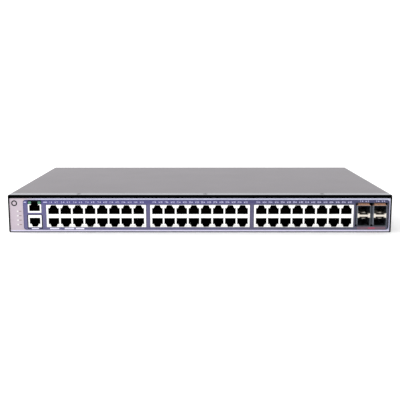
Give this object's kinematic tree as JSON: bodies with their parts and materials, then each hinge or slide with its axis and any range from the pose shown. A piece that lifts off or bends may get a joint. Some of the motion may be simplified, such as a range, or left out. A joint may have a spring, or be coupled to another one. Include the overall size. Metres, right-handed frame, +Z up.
{
  "type": "rackmount network switch",
  "caption": "One-unit rackmount network switch with stacked sockets, module cages, side-blowing fans and rear mains inlet.",
  "frame": {"origin": "bottom centre of the whole object's bounding box", "axes": "+X to the right of someone facing the sockets, +Y towards the rear, +Z up; the sockets face -Y"},
  "size_m": [0.441, 0.2564, 0.044],
  "materials": {
    "aluminium_fin": "extruded",
    "bezel_black": "fine matt grain",
    "black_insert": "moulded",
    "black_screw": "black oxide",
    "board_green": "solder mask",
    "bronze": "sintered",
    "can_sleeve": "sleeved aluminium",
    "chip_black": "moulded resin",
    "clear_lens": "clear moulded",
    "connector_black": "moulded nylon",
    "fan_black": "moulded",
    "ferrite": "sintered",
    "gold_contact": "gold plate",
    "insulator": "clear film",
    "lead_black": "wire insulation",
    "nickel_shell": "bright nickel plate",
    "overlay_film": "printed satin film",
    "painted_steel": "satin powder coat",
    "panel_paint": "smooth satin paint",
    "spring_gold": "sprung copper alloy",
    "steel": "ground",
    "transformer_tape": "tape over a winding",
    "zinc_screw": "zinc plate"
  },
  "bodies": {
    "chassis": {"backup_pins": "steel", "backup_socket": "connector_black", "bezel_frame": "bezel_black", "bezel_screws": "black_screw", "board_capacitors": "can_sleeve", "board_inductors": "ferrite", "board_screws": "zinc_screw", "board_standoffs": "zinc_screw", "cage_connectors": "connector_black", "cage_dividers": "nickel_shell", "cage_left": "nickel_shell", "cage_right": "nickel_shell", "cage_springs": "spring_gold", "chassis_tray": "painted_steel", "clinch_nuts": "zinc_screw", "cover_screws": "black_screw", "fan_bearings": "bronze", "fan_frame_front": "fan_black", "fan_frame_rear": "fan_black", "fan_screws": "black_screw", "fan_stators": "ferrite", "front_panel": "panel_paint", "ground_screw": "zinc_screw", "insulation_sheet": "insulator", "internal_leads": "lead_black", "lan_transformers": "chip_black", "led_lenses": "clear_lens", "main_board": "board_green", "mains_inlet": "connector_black", "mains_inlet_pins": "steel", "management_insert": "black_insert", "management_shell": "nickel_shell", "memory_chips": "chip_black", "panel_rivets": "zinc_screw", "phy_chips": "chip_black", "port_inserts_left": "black_insert", "port_inserts_middle": "black_insert", "port_inserts_right": "black_insert", "port_overlay": "overlay_film", "port_shell_left": "nickel_shell", "port_shell_middle": "nickel_shell", "port_shell_right": "nickel_shell", "processor_chip": "chip_black", "socket_contacts": "gold_contact", "status_light_pipes": "clear_lens", "supply_board": "board_green", "supply_capacitors": "can_sleeve", "supply_heatsinks": "aluminium_fin", "supply_transformer": "transformer_tape", "switch_chip": "chip_black", "switch_heatsink": "aluminium_fin", "top_cover": "painted_steel"},
    "fan_rotor_front": {"fan_rotor_front": "fan_black", "fan_shaft_front": "steel"},
    "fan_rotor_rear": {"fan_rotor_rear": "fan_black", "fan_shaft_rear": "steel"},
    "latch_left_upper": {"latch_left_upper": "nickel_shell"},
    "latch_left_lower": {"latch_left_lower": "nickel_shell"},
    "latch_right_upper": {"latch_right_upper": "nickel_shell"},
    "latch_right_lower": {"latch_right_lower": "nickel_shell"}
  },
  "joints": [
    {"name": "fan_spin_front", "type": "hinge", "parent": "chassis", "child": "fan_rotor_front", "pos_m": [0.2083, 0.06245, 0.0214], "axis": [1, 0, 0], "continuous": true},
    {"name": "fan_spin_rear", "type": "hinge", "parent": "chassis", "child": "fan_rotor_rear", "pos_m": [0.2083, 0.10305, 0.0214], "axis": [1, 0, 0], "continuous": true},
    {"name": "latch_flex_left_upper", "type": "hinge", "parent": "chassis", "child": "latch_left_upper", "pos_m": [0.1887, -0.11555, 0.02195], "axis": [1, 0, 0], "range_deg": [0, 6], "stiffness_Nm_per_rad": 0.1},
    {"name": "latch_flex_left_lower", "type": "hinge", "parent": "chassis", "child": "latch_left_lower", "pos_m": [0.1887, -0.11555, 0.01725], "axis": [-1, 0, 0], "range_deg": [0, 6], "stiffness_Nm_per_rad": 0.1},
    {"name": "latch_flex_right_upper", "type": "hinge", "parent": "chassis", "child": "latch_right_upper", "pos_m": [0.20735, -0.11555, 0.02195], "axis": [1, 0, 0], "range_deg": [0, 6], "stiffness_Nm_per_rad": 0.1},
    {"name": "latch_flex_right_lower", "type": "hinge", "parent": "chassis", "child": "latch_right_lower", "pos_m": [0.20735, -0.11555, 0.01725], "axis": [-1, 0, 0], "range_deg": [0, 6], "stiffness_Nm_per_rad": 0.1}
  ]
}
